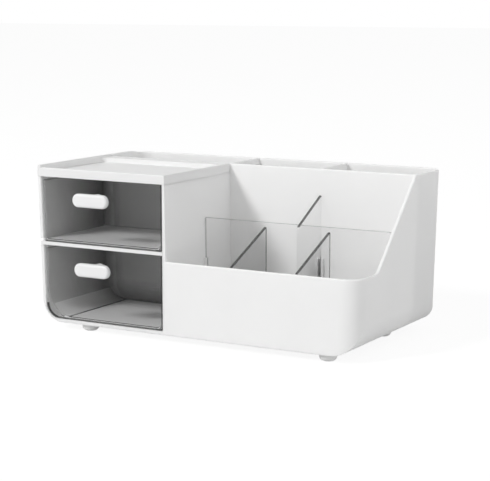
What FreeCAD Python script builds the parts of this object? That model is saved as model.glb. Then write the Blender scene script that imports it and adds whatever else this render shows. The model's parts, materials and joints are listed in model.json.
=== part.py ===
import FreeCAD, Part
import math
import os
import Sketcher
from FreeCAD import Vector

# Desk organizer: a white moulded body with a two-drawer cabinet under a shallow tray, an open bin with
# clear dividers beside it and a row of three pen compartments behind.
#
# Every piece is drawn in one frame: x across the width from its middle, y back from the body's front face,
# z up from the body's underside. Its Placement then stands it on the feet, with the origin under the middle
# of the whole object's box.

SIZES = [
    # name, millimetres, what it is
    ("width", 300.0, "body across the left wall's top"),
    ("depth", 160.0, "body from front face to rear face"),
    ("body_height", 130.3, "underside to the top of the panel, the pen walls and the tray's front lip"),
    ("rim_rise", 2.0, "left wall and left rim above body_height"),
    ("rim_fall", 13.0, "length over which the left wall's top comes down to the rear wall's height"),
    ("rim_fall_end", 10.0, "where the left wall's top is down, from the rear face"),
    ("rim_fall_blend", 60.0, "rounds at both ends of that fall"),
    ("side_lean", 0.028, "outward lean of the side walls, per unit of height"),
    ("wall", 2.6, "front, left and right walls"),
    ("floor", 2.9, "floor"),
    ("rear_wall", 3.0, "rear wall"),
    ("panel", 3.0, "panel between the bin and the pen compartments"),
    ("panel_front", 105.0, "front face of the panel, from the body's front face"),
    ("bottom_round", 23.0, "outer round between floor and right wall"),
    ("bottom_round_left", 19.5, "outer round between floor and left wall"),
    ("bottom_cove", 20.0, "inner round between floor and side walls"),
    ("corner_round", 16.0, "outer upright corners: both rear ones and the front right one"),
    ("corner_cove", 13.4, "inner round of the same corners"),
    ("cabinet_width", 125.0, "left edge of the top to the right face of the cabinet's right wall"),
    ("partition", 2.0, "cabinet's right wall at its top, and the pen walls"),
    ("partition_lean", 0.014, "lean of the right face of the cabinet's wall and of the pen walls"),
    ("pen_wall_at", 62.0, "right face of the second pen wall at its top, from the middle"),
    ("bay_round", 13.0, "lower left round of the cabinet's opening"),
    ("bin_height", 60.4, "top of the bin's front wall"),
    ("slope_setback", 4.5, "top of the right wall's slope in front of the panel"),
    ("slope_run", 66.0, "length of the slope, front to back"),
    ("slope_blend", 12.0, "round where the slope meets the front wall's top"),
    ("edge_round", 0.8, "small rounds along the tops of the walls"),
    ("thin_round", 0.4, "small rounds on the clear drawers and on the screws"),
    ("shelf_bottom", 65.2, "underside of the middle shelf"),
    ("shelf", 2.8, "thickness of the middle shelf"),
    ("shelf_bar", 3.2, "depth of the shelf's bar where it lies over the left wall's front edge"),
    ("notch_above", 2.7, "open height of the wall's notch above the bar"),
    ("shelf_play", 0.3, "between the middle shelf and the walls around it"),
    ("ledge", 2.0, "height of the ledges under the shelf"),
    ("ledge_out", 1.6, "how far the ledges stand out of the walls"),
    ("ledge_front", 6.0, "front end of the ledges, from the front face"),
    ("ledge_back", 6.0, "rear end of the ledges, from the panel"),
    ("tray_lip", 7.4, "height of the top tray's front face"),
    ("tray_floor", 3.5, "thickness of the top tray under its recess"),
    ("tray_overhang", 0.7, "top tray beyond the left wall"),
    ("tray_rim", 2.4, "rims at the left, the front and the right of the recess"),
    ("tray_back_rim", 13.5, "rim between the recess and the panel"),
    ("tray_corner", 6.0, "upright corners of the recess"),
    ("lug", 2.0, "height of the lugs under the top tray, and their thickness"),
    ("lug_play", 0.5, "between the lugs and the walls beside them"),
    ("lug_setback", 6.0, "ends of the lugs behind the tray's front and before the panel"),
    ("drawer_gap", 0.5, "between a drawer and what is beside it"),
    ("drawer_lift", 0.3, "between a drawer's underside and what it runs on"),
    ("drawer_headroom", 0.7, "above a drawer's front plate"),
    ("front_recess", 0.6, "front plates behind the body's front face"),
    ("front_plate", 2.2, "thickness of a front plate"),
    ("front_corner", 2.0, "corners of a front plate that are not the big round"),
    ("drawer_depth", 87.4, "front face of the plate to the rear of the drawer"),
    ("drawer_wall", 1.8, "walls of a drawer tray"),
    ("drawer_floor", 2.0, "floor of a drawer tray"),
    ("drawer_rim_drop", 2.2, "top of the drawer tray's walls below the top of its plate"),
    ("drawer_cove_right", 6.0, "inner lower right round of both drawers"),
    ("drawer_cove_left", 23.0, "inner lower left round of the lower drawer"),
    ("drawer_cove_small", 1.5, "inner lower left round of the upper drawer"),
    ("handle_drop", 15.6, "middle of a handle below the top of its plate"),
    ("handle_aside", 2.5, "middle of a handle left of the middle of its plate"),
    ("handle_length", 33.9, "across a handle's head"),
    ("handle_height", 11.2, "height of a handle's head"),
    ("handle_end", 5.4, "round ends of a handle's head"),
    ("handle_head", 4.0, "thickness of a handle's head"),
    ("handle_reach", 13.0, "front of the handles before the body's front face"),
    ("handle_soft", 1.8, "soft edge of a handle's head"),
    ("stem", 9.6, "diameter of a handle's stem"),
    ("screw", 3.5, "diameter of a handle's screw"),
    ("screw_play", 0.4, "hole in the plate wider than the screw"),
    ("screw_seat", 0.04, "hole in the stem wider than the screw"),
    ("screw_in", 9.0, "length of the screw inside the stem"),
    ("screw_tip_room", 2.0, "hole in the stem deeper than the screw"),
    ("screw_head", 7.0, "diameter of the screw's head"),
    ("screw_head_height", 2.2, "height of the screw's head"),
    ("screw_slot", 1.0, "width and depth of the cross in the screw's head"),
    ("screw_cross", 4.2, "length of the cross in the screw's head"),
    ("divider", 1.6, "thickness of the clear plates"),
    ("divider_play", 0.4, "between a clear plate and what guides it"),
    ("divider_lift", 0.3, "clear plates above the floor"),
    ("divider_corner", 1.5, "upper corners of the clear plates"),
    ("long_at", 62.5, "middle of the long plate, from the front face"),
    ("long_top", 89.3, "top of the long plate"),
    ("front_left_at", 34.3, "first front cross plate, from the middle"),
    ("front_right_at", 92.5, "second front cross plate, from the middle"),
    ("front_low", 60.5, "height of a front cross plate at the front wall"),
    ("front_high", 86.3, "height of a front cross plate at the long plate"),
    ("rear_at", 62.6, "rear cross plate, from the middle"),
    ("rear_low", 87.6, "height of the rear cross plate at the long plate"),
    ("rear_high", 109.4, "height of the rear cross plate at the panel"),
    ("rib", 1.6, "width of the guide ribs"),
    ("rib_out", 2.0, "how far the guide ribs stand out of the walls"),
    ("rib_top", 55.0, "top of the guide ribs"),
    ("foot", 14.5, "diameter of a foot"),
    ("foot_height", 6.0, "foot below the body"),
    ("foot_dome", 4.4, "round of a foot's lower edge"),
    ("foot_seat", 0.6, "depth of a foot's seat in the body"),
    ("foot_play", 0.1, "seat wider than the foot, all round"),
    ("foot_left", 44.8, "middle of the left feet, in from the left end"),
    ("foot_right", 32.2, "middle of the right feet, in from the right end"),
    ("foot_front", 10.0, "middle of the front feet, in from the front face"),
    ("foot_back", 49.0, "middle of the rear feet, in from the back"),
]

ACROSS, ALONG, UP = range(3)
SPILL = 5.0     # how far a cutting outline reaches past the surface that it opens

document = FreeCAD.newDocument("desk_organizer")


# ---------------------------------------------------------------- sizes and their expressions

class Size:
    """A length with both its value and the spreadsheet expression that gives it."""

    def __init__(self, value, text):
        self.value = value
        self.text = text

    def __add__(self, other):
        other = as_size(other)
        return Size(self.value + other.value, "({} + {})".format(self.text, other.text))

    def __sub__(self, other):
        other = as_size(other)
        return Size(self.value - other.value, "({} - {})".format(self.text, other.text))

    def __mul__(self, other):
        other = as_size(other)
        return Size(self.value * other.value, "({} * {})".format(self.text, other.text))

    def __truediv__(self, other):
        other = as_size(other)
        return Size(self.value / other.value, "({} / {})".format(self.text, other.text))

    def __neg__(self):
        return Size(-self.value, "(0 - {})".format(self.text))

    def __radd__(self, other):
        return as_size(other) + self

    def __rsub__(self, other):
        return as_size(other) - self


def as_size(number):
    if isinstance(number, Size):
        return number
    return Size(number, "({})".format(number))


def make_sheet():
    """The spreadsheet of driving dimensions, and the same sizes by name."""
    sheet = document.addObject("Spreadsheet::Sheet", "sizes")
    by_name = {}
    for row, (name, value, meaning) in enumerate(SIZES, start=1):
        sheet.set("A{}".format(row), name)
        sheet.set("B{}".format(row), str(value))
        sheet.setAlias("B{}".format(row), name)
        sheet.set("C{}".format(row), meaning)
        by_name[name] = Size(value, "sizes." + name)
    document.recompute()
    return by_name


def bind(thing, name, size):
    thing.setExpression(name, as_size(size).text)


# ---------------------------------------------------------------- sketches

def plane_of(body, plane):
    for feature in body.Origin.OriginFeatures:
        if feature.Role == plane + "_Plane":
            return feature
    raise ValueError("no plane " + plane)


def pin(sketch, geometry, across, up):
    """Holds the first point of a line, or a point itself, at its place."""
    for kind, size in (("DistanceX", across), ("DistanceY", up)):
        index = sketch.addConstraint(Sketcher.Constraint(kind, -1, 1, geometry, 1, as_size(size).value))
        bind(sketch, "Constraints[{}]".format(index), size)


def corner_arc(before, corner, after, radius):
    """Where an arc tangent to both sides of a corner starts and ends, its centre and its turning sense."""
    to_before = (before - corner).normalize()
    to_after = (after - corner).normalize()
    half_angle = to_before.getAngle(to_after) / 2
    reach = radius / math.tan(half_angle)
    start = corner + to_before * reach
    end = corner + to_after * reach
    centre = corner + (to_before + to_after).normalize() * (radius / math.sin(half_angle))
    turns_left = to_after.cross(to_before).z > 0
    return start, end, centre, turns_left


def draw_outline(sketch, corners):
    """Closed outline; a corner is (across, up), or (across, up, radius) for a tangent arc."""
    points = [Vector(as_size(corner[0]).value, as_size(corner[1]).value, 0) for corner in corners]
    count = len(corners)
    starts = list(points)
    ends = list(points)
    arcs = {}
    for i, corner in enumerate(corners):
        if len(corner) < 3:
            continue
        radius = as_size(corner[2]).value
        before, after = points[i - 1], points[(i + 1) % count]
        start, end, centre, turns_left = corner_arc(before, points[i], after, radius)
        starts[i] = start
        ends[i] = end
        first, last = (start, end) if turns_left else (end, start)
        first_angle = math.atan2(first.y - centre.y, first.x - centre.x)
        last_angle = math.atan2(last.y - centre.y, last.x - centre.x)
        if last_angle < first_angle:
            last_angle += 2 * math.pi
        circle = Part.Circle(centre, Vector(0, 0, 1), radius)
        arc = sketch.addGeometry(Part.ArcOfCircle(circle, first_angle, last_angle), False)
        arcs[i] = (arc, turns_left)
    lines = []
    for i in range(count):
        line = Part.LineSegment(ends[i], starts[(i + 1) % count])
        lines.append(sketch.addGeometry(line, False))
    for i, corner in enumerate(corners):
        line_in = lines[i - 1]
        line_out = lines[i]
        if i not in arcs:
            sketch.addConstraint(Sketcher.Constraint("Coincident", line_in, 2, line_out, 1))
            pin(sketch, line_out, corner[0], corner[1])
            continue
        arc, turns_left = arcs[i]
        arc_start, arc_end = (1, 2) if turns_left else (2, 1)
        sketch.addConstraint(Sketcher.Constraint("Tangent", line_in, 2, arc, arc_start))
        sketch.addConstraint(Sketcher.Constraint("Tangent", line_out, 1, arc, arc_end))
        radius_index = sketch.addConstraint(Sketcher.Constraint("Radius", arc, as_size(corner[2]).value))
        bind(sketch, "Constraints[{}]".format(radius_index), corner[2])
        tip = sketch.addGeometry(Part.Point(points[i]), True)
        sketch.addConstraint(Sketcher.Constraint("PointOnObject", tip, 1, line_in))
        sketch.addConstraint(Sketcher.Constraint("PointOnObject", tip, 1, line_out))
        pin(sketch, tip, corner[0], corner[1])


def draw_circle(sketch, circle):
    """A circle given as {"at": (across, up), "diameter": size}."""
    across, up = circle["at"]
    radius = as_size(circle["diameter"]) / 2
    middle = Vector(as_size(across).value, as_size(up).value, 0)
    ring = sketch.addGeometry(Part.Circle(middle, Vector(0, 0, 1), radius.value), False)
    for kind, size in (("DistanceX", across), ("DistanceY", up)):
        index = sketch.addConstraint(Sketcher.Constraint(kind, -1, 1, ring, 3, as_size(size).value))
        bind(sketch, "Constraints[{}]".format(index), size)
    index = sketch.addConstraint(Sketcher.Constraint("Radius", ring, radius.value))
    bind(sketch, "Constraints[{}]".format(index), radius)


def new_sketch(body, name, plane, start, loops):
    """A sketch on one of the body's own planes, moved along the plane's axis to start."""
    sketch = body.newObject("Sketcher::SketchObject", name)
    sketch.AttachmentSupport = (plane_of(body, plane), [""])
    sketch.MapMode = "FlatFace"
    for loop in loops:
        if isinstance(loop, dict):
            draw_circle(sketch, loop)
        else:
            draw_outline(sketch, loop)
    outward = -as_size(start) if plane == "XZ" else as_size(start)
    bind(sketch, "AttachmentOffset.Base.z", outward)
    return sketch


# ---------------------------------------------------------------- bodies and features

def new_body(name):
    body = document.addObject("PartDesign::Body", name)
    body.Label = name
    return body


def volume_of(body):
    return body.Shape.Volume if body.Tip and not body.Shape.isNull() else 0.0


def settle(body, feature, grows):
    """Recomputes, and makes sure that the feature did add or remove material."""
    before = volume_of(body)
    document.recompute()
    after = volume_of(body)
    if not feature.isValid() or (after > before) != grows:
        change = "from {:.1f} to {:.1f}".format(before, after)
        raise RuntimeError("{} changed {} {}".format(feature.Name, body.Name, change))


def extrude(body, kind, name, plane, start, length, loops):
    """Pad or Pocket from start along the plane's positive axis, for length."""
    sketch = new_sketch(body, name + "_outline", plane, start, loops)
    feature = body.newObject("PartDesign::" + kind, name)
    feature.Profile = sketch
    bind(feature, "Length", length)
    feature.Reversed = (kind == "Pad") == (plane == "XZ")
    settle(body, feature, kind == "Pad")
    return feature


def edges_at(shape, points):
    """Names of the edges that pass through the given points."""
    names = []
    for point in points:
        place = Part.Vertex(Vector(*[as_size(value).value for value in point]))
        for number, edge in enumerate(shape.Edges, start=1):
            if edge.distToShape(place)[0] < 0.01:
                names.append("Edge{}".format(number))
    return sorted(set(names))


def edges_in_planes(shape, axis, places):
    """Names of the edges that lie in a plane across the given axis (1 is y, 2 is z)."""
    names = []
    for number, edge in enumerate(shape.Edges, start=1):
        ends = [edge.valueAt(edge.FirstParameter)[axis], edge.valueAt(edge.LastParameter)[axis]]
        middle = edge.CenterOfMass[axis]
        for where in places:
            if max(abs(spot - where.value) for spot in ends + [middle]) < 0.001:
                names.append("Edge{}".format(number))
    return names


def fillet(body, name, radius, edge_names, grows=False):
    base = body.Tip
    feature = body.newObject("PartDesign::Fillet", name)
    feature.Base = (base, edge_names)
    bind(feature, "Radius", radius)
    settle(body, feature, grows)
    return feature


def round_edges(body, name, radius, points, grows=False):
    """Fillet along the edges that pass through the given points."""
    return fillet(body, name, radius, edges_at(body.Tip.Shape, points), grows)


def round_rims(body, name, radius, axis, places):
    """Fillet along every edge in the given planes."""
    return fillet(body, name, radius, edges_in_planes(body.Tip.Shape, axis, places))


def place(body, across=0.0, back=0.0):
    """Stands a piece on the feet, with the origin under the middle of the whole box."""
    bind(body, "Placement.Base.x", middle_x + across)
    bind(body, "Placement.Base.y", front_y + back)
    bind(body, "Placement.Base.z", size["foot_height"])
    document.recompute()


def rectangle(left, right, low, high):
    return [(left, low), (right, low), (right, high), (left, high)]


# ---------------------------------------------------------------- places that several pieces share

size = make_sheet()
front_y = (size["handle_reach"] - size["depth"]) / 2
rim_top = size["body_height"] + size["rim_rise"]
tray_bottom = size["body_height"] - size["tray_lip"]
shelf_top = size["shelf_bottom"] + size["shelf"]
partition_left = size["cabinet_width"] - size["width"] / 2 - size["partition"]
pen_wall_left = size["pen_wall_at"] - size["partition"]
pen_front = size["panel_front"] + size["panel"]
pen_back = size["depth"] - size["rear_wall"]
slope_top = size["panel_front"] - size["slope_setback"]
slope_foot = slope_top - size["slope_run"]
fall_end = size["depth"] - size["rim_fall_end"]
fall_start = fall_end - size["rim_fall"]
guide_gap = size["divider"] / 2 + size["divider_play"]


def outer_x(height):
    """Right face of the body; the left one mirrors it."""
    return size["width"] / 2 - size["side_lean"] * (rim_top - height)


def inner_x(height):
    return outer_x(height) - size["wall"]


def partition_right(height):
    lean = size["partition_lean"] * (size["body_height"] - height)
    return size["cabinet_width"] - size["width"] / 2 + lean


def pen_wall_right(height):
    return size["pen_wall_at"] + size["partition_lean"] * (size["body_height"] - height)


# The tray's lip reaches further left than the right wall reaches right, so the box's middle is off the body's.
middle_x = (outer_x(tray_bottom) + size["tray_overhang"] - outer_x(size["body_height"])) / 2


# ---------------------------------------------------------------- main body

def leaning_outline(left, right, low, high):
    """Outline between two leaning faces, each given as a function of height."""
    return [(left(low), low), (right(low), low), (right(high), high), (left(high), high)]


def corner_strip(side, face_x, level, radius, thickness):
    """L-shaped outline outside a lower corner, whose inner corner is round; side is 1 right or -1 left."""
    reach = radius + SPILL
    corner = face_x(level)
    upper = face_x(level + reach)
    return [
        ((corner - reach) * side, level),
        (corner * side, level, radius),
        (upper * side, level + reach),
        ((upper + thickness) * side, level + reach),
        ((corner + thickness) * side, level - thickness),
        ((corner - reach) * side, level - thickness),
    ]


def mirrored(face_x):
    """The left face that mirrors a right one."""
    return lambda height: -face_x(height)


def cut_bin(body):
    """Open bin: cut down to the front wall's top right through the front, and below that behind the wall."""
    bin_faces = (partition_right, inner_x)
    upper = leaning_outline(*bin_faces, size["bin_height"], rim_top + SPILL)
    extrude(body, "Pocket", "bin_upper", "XZ", -SPILL, size["panel_front"] + SPILL, [upper])
    lower = leaning_outline(*bin_faces, size["floor"], size["bin_height"] + SPILL)
    extrude(body, "Pocket", "bin_lower", "XZ", size["wall"], size["panel_front"] - size["wall"], [lower])
    over_slope = [
        (-as_size(SPILL), size["bin_height"]),
        (slope_foot, size["bin_height"], size["slope_blend"]),
        (slope_top, size["body_height"]),
        (slope_top, rim_top + SPILL),
        (-as_size(SPILL), rim_top + SPILL),
    ]
    side_start = inner_x(size["floor"]) - size["corner_round"]
    extrude(body, "Pocket", "right_slope", "YZ", side_start, size["corner_round"] * 2, [over_slope])
    front_corner = (inner_x(size["bin_height"] / 2), size["wall"], size["bin_height"] / 2)
    round_edges(body, "bin_corner", size["corner_cove"], [front_corner], grows=True)


def cut_pens(body):
    """Three pen compartments between the panel and the rear wall."""
    faces = [
        (mirrored(inner_x), lambda height: partition_left),
        (partition_right, lambda height: pen_wall_left),
        (pen_wall_right, inner_x),
    ]
    outlines = [leaning_outline(left, right, size["floor"], rim_top + SPILL) for left, right in faces]
    extrude(body, "Pocket", "pen_compartments", "XZ", pen_front, pen_back - pen_front, outlines)
    middle = size["body_height"] / 2
    corners = [(inner_x(middle), pen_back, middle), (-inner_x(middle), pen_back, middle)]
    round_edges(body, "pen_corners", size["corner_cove"], corners, grows=True)


def fill_coves(body):
    """Inner rounds along the floor, at the right of the bin and at both ends of the pen compartments."""
    inside_wall = size["wall"] / 2
    right = corner_strip(1, inner_x, size["floor"], size["bottom_cove"], inside_wall)
    left = corner_strip(-1, inner_x, size["floor"], size["bottom_cove"], inside_wall)
    bin_length = size["panel_front"] - size["wall"]
    extrude(body, "Pad", "bin_cove", "XZ", size["wall"], bin_length, [right])
    extrude(body, "Pad", "pen_coves", "XZ", pen_front, pen_back - pen_front, [right, left])


def cut_bays(body):
    """Cabinet's opening for both drawers, open to the front and, under the top tray, to the top."""
    bay = [
        (-inner_x(size["floor"]), size["floor"], size["bay_round"]),
        (partition_left, size["floor"]),
        (partition_left, rim_top + SPILL),
        (-inner_x(rim_top + SPILL), rim_top + SPILL),
    ]
    extrude(body, "Pocket", "drawer_bays", "XZ", -SPILL, size["panel_front"] + SPILL, [bay])
    above = leaning_outline(mirrored(lambda height: outer_x(height) + SPILL), partition_right,
                            tray_bottom, rim_top + SPILL)
    extrude(body, "Pocket", "tray_seat", "XZ", -SPILL, size["panel_front"] + SPILL, [above])
    notch_low = size["shelf_bottom"] - size["shelf_play"]
    notch_high = shelf_top + size["notch_above"]
    notch = leaning_outline(mirrored(lambda height: outer_x(height) + SPILL), mirrored(inner_x),
                            notch_low, notch_high)
    notch_depth = size["shelf_bar"] + size["shelf_play"]
    extrude(body, "Pocket", "shelf_notch", "XZ", -SPILL, notch_depth + SPILL, [notch])


def add_ledges(body):
    """Ledges that carry the middle shelf."""
    low = size["shelf_bottom"] - size["ledge"]
    left = leaning_outline(mirrored(inner_x), mirrored(lambda height: inner_x(height) - size["ledge_out"]),
                           low, size["shelf_bottom"])
    right = rectangle(partition_left - size["ledge_out"], partition_left, low, size["shelf_bottom"])
    length = size["panel_front"] - size["ledge_back"] - size["ledge_front"]
    extrude(body, "Pad", "shelf_ledges", "XZ", size["ledge_front"], length, [left, right])


def add_ribs(body):
    """Pairs of guide ribs for the clear plates, on the walls of the bin."""
    ends = [
        leaning_outline(partition_right, lambda height: partition_right(height) + size["rib_out"],
                        size["floor"], size["rib_top"]),
        leaning_outline(lambda height: inner_x(height) - size["rib_out"], inner_x,
                        size["floor"], size["rib_top"]),
    ]
    before_plate = size["long_at"] - guide_gap - size["rib"]
    extrude(body, "Pad", "long_ribs_front", "XZ", before_plate, size["rib"], ends)
    extrude(body, "Pad", "long_ribs_rear", "XZ", size["long_at"] + guide_gap, size["rib"], ends)
    pairs = []
    front_end = (size["wall"], size["wall"] + size["rib_out"])
    rear_end = (size["panel_front"] - size["rib_out"], size["panel_front"])
    cross_plates = (("front_left_at", front_end), ("front_right_at", front_end), ("rear_at", rear_end))
    for middle, (near, far) in cross_plates:
        left_rib = size[middle] - guide_gap - size["rib"]
        right_rib = size[middle] + guide_gap
        pairs.append(rectangle(left_rib, left_rib + size["rib"], near, far))
        pairs.append(rectangle(right_rib, right_rib + size["rib"], near, far))
    extrude(body, "Pad", "cross_ribs", "XY", size["floor"], size["rib_top"] - size["floor"], pairs)


def foot_places():
    """Name, across and back of each foot."""
    left = size["foot_left"] - size["width"] / 2
    right = size["width"] / 2 - size["foot_right"]
    rear = size["depth"] - size["foot_back"]
    return [
        ("foot_front_left", left, size["foot_front"]),
        ("foot_front_right", right, size["foot_front"]),
        ("foot_rear_left", left, rear),
        ("foot_rear_right", right, rear),
    ]


def lower_tops(body):
    """Everything right of the left wall, and the left wall itself towards its rear end."""
    above = rim_top + SPILL
    right_of_wall = leaning_outline(mirrored(inner_x), lambda height: outer_x(height) + SPILL,
                                    size["body_height"], above)
    extrude(body, "Pocket", "lower_tops", "XZ", -SPILL, size["depth"] + 2 * SPILL, [right_of_wall])
    blend_room = size["rim_fall_blend"] / 2
    over_fall = [
        (fall_start - blend_room, rim_top),
        (fall_start, rim_top, size["rim_fall_blend"]),
        (fall_end, size["body_height"], size["rim_fall_blend"]),
        (size["depth"] + SPILL, size["body_height"]),
        (size["depth"] + SPILL, above),
        (fall_start - blend_room, above),
    ]
    left_end = -(size["width"] / 2 + SPILL)
    extrude(body, "Pocket", "rim_fall", "YZ", left_end, size["wall"] + SPILL * 2, [over_fall])


def edges_along_fall(shape):
    """Names of the edges along the falling part of the left wall's top."""
    names = []
    for number, edge in enumerate(shape.Edges, start=1):
        ends = [edge.valueAt(edge.FirstParameter), edge.valueAt(edge.LastParameter)]
        on_left_wall = max(end.x for end in ends) < size["corner_round"].value - size["width"].value / 2
        on_top = min(end.z for end in ends) > size["body_height"].value - 0.001
        behind_panel = min(end.y for end in ends) > pen_front.value
        runs_back = abs(ends[0].y - ends[1].y) > 0.1
        if on_left_wall and on_top and behind_panel and runs_back:
            names.append("Edge{}".format(number))
    return names


def soften_tops(body):
    """Small rounds along the tops of all the walls and down the right wall's slope."""
    names = edges_in_planes(body.Tip.Shape, UP, [size["bin_height"], size["body_height"], rim_top])
    halfway = (slope_top + slope_foot) / 2, (size["body_height"] + size["bin_height"]) / 2
    faces = (outer_x(halfway[1]), inner_x(halfway[1]))
    names += edges_at(body.Tip.Shape, [(face, *halfway) for face in faces])
    names += edges_along_fall(body.Tip.Shape)
    fillet(body, "soft_tops", size["edge_round"], names)


def main_body():
    """White moulding: floor, walls, panel and pen walls."""
    body = new_body("main_body")
    block = leaning_outline(mirrored(outer_x), outer_x, as_size(0), rim_top)
    extrude(body, "Pad", "block", "XZ", 0, size["depth"], [block])
    lower_tops(body)
    cut_bin(body)
    cut_pens(body)
    fill_coves(body)
    cut_bays(body)
    add_ledges(body)
    add_ribs(body)
    rear_level = size["body_height"] / 2
    front_level = size["bin_height"] / 2
    upright = [(outer_x(front_level), 0, front_level), (outer_x(rear_level), size["depth"], rear_level),
               (-outer_x(rear_level), size["depth"], rear_level)]
    round_edges(body, "upright_corners", size["corner_round"], upright)
    strips = [corner_strip(side, outer_x, as_size(0), radius, SPILL)
              for side, radius in ((1, size["bottom_round"]), (-1, size["bottom_round_left"]))]
    extrude(body, "Pocket", "bottom_rounds", "XZ", -SPILL, size["depth"] + 2 * SPILL, strips)
    seats = [{"at": place_of_foot[1:], "diameter": size["foot"] + size["foot_play"] * 2}
             for place_of_foot in foot_places()]
    extrude(body, "Pocket", "foot_seats", "XY", 0, size["foot_seat"], seats)
    soften_tops(body)
    place(body)
    return body


# ---------------------------------------------------------------- top tray and middle shelf

def top_tray():
    """Shallow tray over the cabinet, with lugs that locate it between the cabinet's walls."""
    body = new_body("top_tray")
    left_low = -outer_x(tray_bottom) - size["tray_overhang"]
    left_high = -outer_x(rim_top)
    slab = [
        (left_low, tray_bottom),
        (partition_right(tray_bottom), tray_bottom),
        (partition_right(size["body_height"]), size["body_height"]),
        (left_high + size["tray_rim"], size["body_height"]),
        (left_high + size["tray_rim"], rim_top),
        (left_high, rim_top),
        (left_low, size["body_height"]),
    ]
    extrude(body, "Pad", "slab", "XZ", 0, size["panel_front"], [slab])
    level = tray_bottom + size["tray_floor"]
    right = partition_right(level) - size["tray_rim"]
    left = left_high + size["tray_rim"]
    back = size["panel_front"] - size["tray_back_rim"]
    recess = [(across, along, size["tray_corner"])
              for across, along in rectangle(left, right, size["tray_rim"], back)]
    extrude(body, "Pocket", "recess", "XY", level, size["tray_lip"], [recess])
    outer_left = -inner_x(tray_bottom) + size["lug_play"]
    inner_right = partition_left - size["lug_play"]
    front = size["lug_setback"]
    rear = size["panel_front"] - size["lug_setback"]
    lugs = [rectangle(outer_left, outer_left + size["lug"], front, rear),
            rectangle(inner_right - size["lug"], inner_right, front, rear)]
    extrude(body, "Pad", "lugs", "XY", tray_bottom - size["lug"], size["lug"], lugs)
    midway = size["panel_front"] / 2
    outer_edges = [
        (partition_left, 0, size["body_height"]),
        (partition_right(size["body_height"]), midway, size["body_height"]),
        (left_high, midway, rim_top),
        (left_high + size["tray_rim"], midway, rim_top),
    ]
    round_edges(body, "soft_edges", size["edge_round"], outer_edges)
    place(body)
    return body


def middle_shelf():
    """Shelf between the drawers; its front bar runs over the left wall's notched front edge."""
    body = new_body("middle_shelf")
    left = mirrored(lambda height: inner_x(height) - size["shelf_play"])
    right = lambda height: partition_left - size["shelf_play"]
    plate = leaning_outline(left, right, size["shelf_bottom"], shelf_top)
    extrude(body, "Pad", "plate", "XZ", 0, size["panel_front"] - size["shelf_play"], [plate])
    bar = leaning_outline(mirrored(outer_x), right, size["shelf_bottom"], shelf_top)
    extrude(body, "Pad", "front_bar", "XZ", 0, size["shelf_bar"], [bar])
    place(body)
    return body


# ---------------------------------------------------------------- drawers

def drawer_sides(gap):
    """Left and right faces of a drawer, as functions of height."""
    return (lambda height: -inner_x(height) + gap), (lambda height: partition_left - gap)


def drawer_front(name, low, high, big_corner):
    """Clear front plate, with a hole for the handle's screw."""
    body = new_body(name)
    left, right = drawer_sides(size["drawer_gap"])
    corners = (big_corner, size["front_corner"], size["front_corner"], size["front_corner"])
    outline = [(across, up, corner)
               for (across, up), corner in zip(leaning_outline(left, right, low, high), corners)]
    hole = {"at": handle_place(low, high), "diameter": size["screw"] + size["screw_play"]}
    extrude(body, "Pad", "plate", "XZ", size["front_recess"], size["front_plate"], [outline])
    round_rims(body, "soft_face", size["thin_round"], ALONG, [size["front_recess"]])
    extrude(body, "Pocket", "screw_hole", "XZ", size["front_recess"], size["front_plate"], [hole])
    place(body)
    return body


def handle_place(low, high):
    """Middle of a handle, across and up, on the plate from low to high."""
    left, right = drawer_sides(size["drawer_gap"])
    up = high - size["handle_drop"]
    return (left(up) + right(high)) / 2 - size["handle_aside"], up


def drawer_tray(name, low, high, outer_left, inner_left):
    """Clear tray behind the front plate: floor, two sides and a rear wall, open to the top."""
    body = new_body(name)
    front = size["front_recess"] + size["front_plate"]
    back = size["front_recess"] + size["drawer_depth"]
    left, right = drawer_sides(size["drawer_gap"])
    top = high - size["drawer_rim_drop"]
    inner_right = size["drawer_cove_right"]
    shell = [
        (left(low), low, outer_left),
        (right(low), low, inner_right + size["drawer_wall"]),
        (right(top), top),
        (left(top), top),
    ]
    extrude(body, "Pad", "shell", "XZ", front, back - front, [shell])
    floor_top = low + size["drawer_floor"]
    hollow_left, hollow_right = drawer_sides(size["drawer_gap"] + size["drawer_wall"])
    hollow = [
        (hollow_left(floor_top), floor_top, inner_left),
        (hollow_right(floor_top), floor_top, inner_right),
        (hollow_right(top + SPILL), top + SPILL),
        (hollow_left(top + SPILL), top + SPILL),
    ]
    hollow_depth = back - front - size["drawer_wall"]
    extrude(body, "Pocket", "hollow", "XZ", front - SPILL, hollow_depth + SPILL, [hollow])
    round_rims(body, "soft_rim", size["thin_round"], UP, [top])
    place(body)
    return body


def drawer_handle(name, low, high):
    """Pill-shaped pull on a round stem, with a blind hole for its screw."""
    body = new_body(name)
    across, up = handle_place(low, high)
    half_length = size["handle_length"] / 2
    half_height = size["handle_height"] / 2
    face = -size["handle_reach"]
    pill = [(x, z, size["handle_end"]) for x, z in
            rectangle(across - half_length, across + half_length, up - half_height, up + half_height)]
    extrude(body, "Pad", "head", "XZ", face, size["handle_head"], [pill])
    round_edges(body, "soft_face", size["handle_soft"], [(across, face, up + half_height)])
    back_face = face + size["handle_head"]
    stem_length = size["front_recess"] - back_face
    stem = {"at": (across, up), "diameter": size["stem"]}
    extrude(body, "Pad", "stem", "XZ", back_face, stem_length, [stem])
    hole_depth = size["screw_in"] + size["screw_tip_room"]
    hole = {"at": (across, up), "diameter": size["screw"] + size["screw_seat"] * 2}
    extrude(body, "Pocket", "screw_hole", "XZ", size["front_recess"] - hole_depth, hole_depth, [hole])
    place(body)
    return body


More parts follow.
